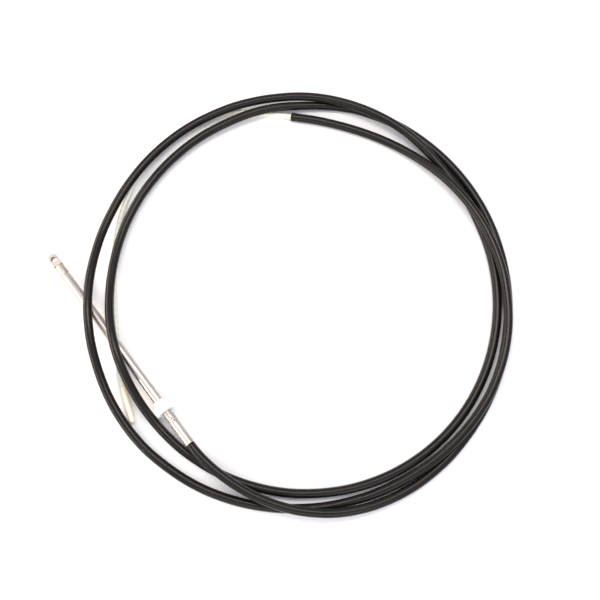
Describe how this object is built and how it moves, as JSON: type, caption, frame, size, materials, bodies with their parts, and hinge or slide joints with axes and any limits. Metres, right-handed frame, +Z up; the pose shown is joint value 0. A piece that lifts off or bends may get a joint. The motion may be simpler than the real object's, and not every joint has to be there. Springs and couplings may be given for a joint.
{
  "type": "boat steering cable",
  "caption": "Rotary boat steering cable, loosely wound, with a sliding output ram and eye, a coupling nut, a black casing and a sleeved core at the helm end.",
  "frame": {"origin": "bottom centre of the wound cable's box, on the floor that it lies on", "axes": "+Z up, +X along the coil's longest side, away from the ram's eye, +Y away from the viewer"},
  "size_m": [0.784, 0.7342, 0.042],
  "materials": {
    "casing": "semi-gloss black vinyl",
    "ram_steel": "bright drawn stainless steel",
    "hub_steel": "satin stainless steel, crimped",
    "nut_plastic": "white moulded nylon",
    "sleeve_plastic": "milky translucent tube",
    "cap_plastic": "cream-yellow moulded plastic"
  },
  "bodies": {
    "root": {"jacket": "casing", "core_sleeve": "sleeve_plastic", "sleeve_cap": "cap_plastic", "hub": "hub_steel", "guide_tube": "ram_steel"},
    "ram": {"ram_tube": "ram_steel", "ram_end": "ram_steel"},
    "nut": {"coupling_nut": "nut_plastic"}
  },
  "joints": [
    {"name": "ram_travel", "type": "slide", "parent": "root", "child": "ram", "axis": [-0.6155, 0.7877, -0.0244], "range_m": [0, 0.2286]},
    {"name": "nut_spin", "type": "hinge", "parent": "root", "child": "nut", "pos_m": [-0.18404, -0.19681, 0.02156], "axis": [-0.6155, 0.7877, -0.0244], "continuous": true}
  ]
}
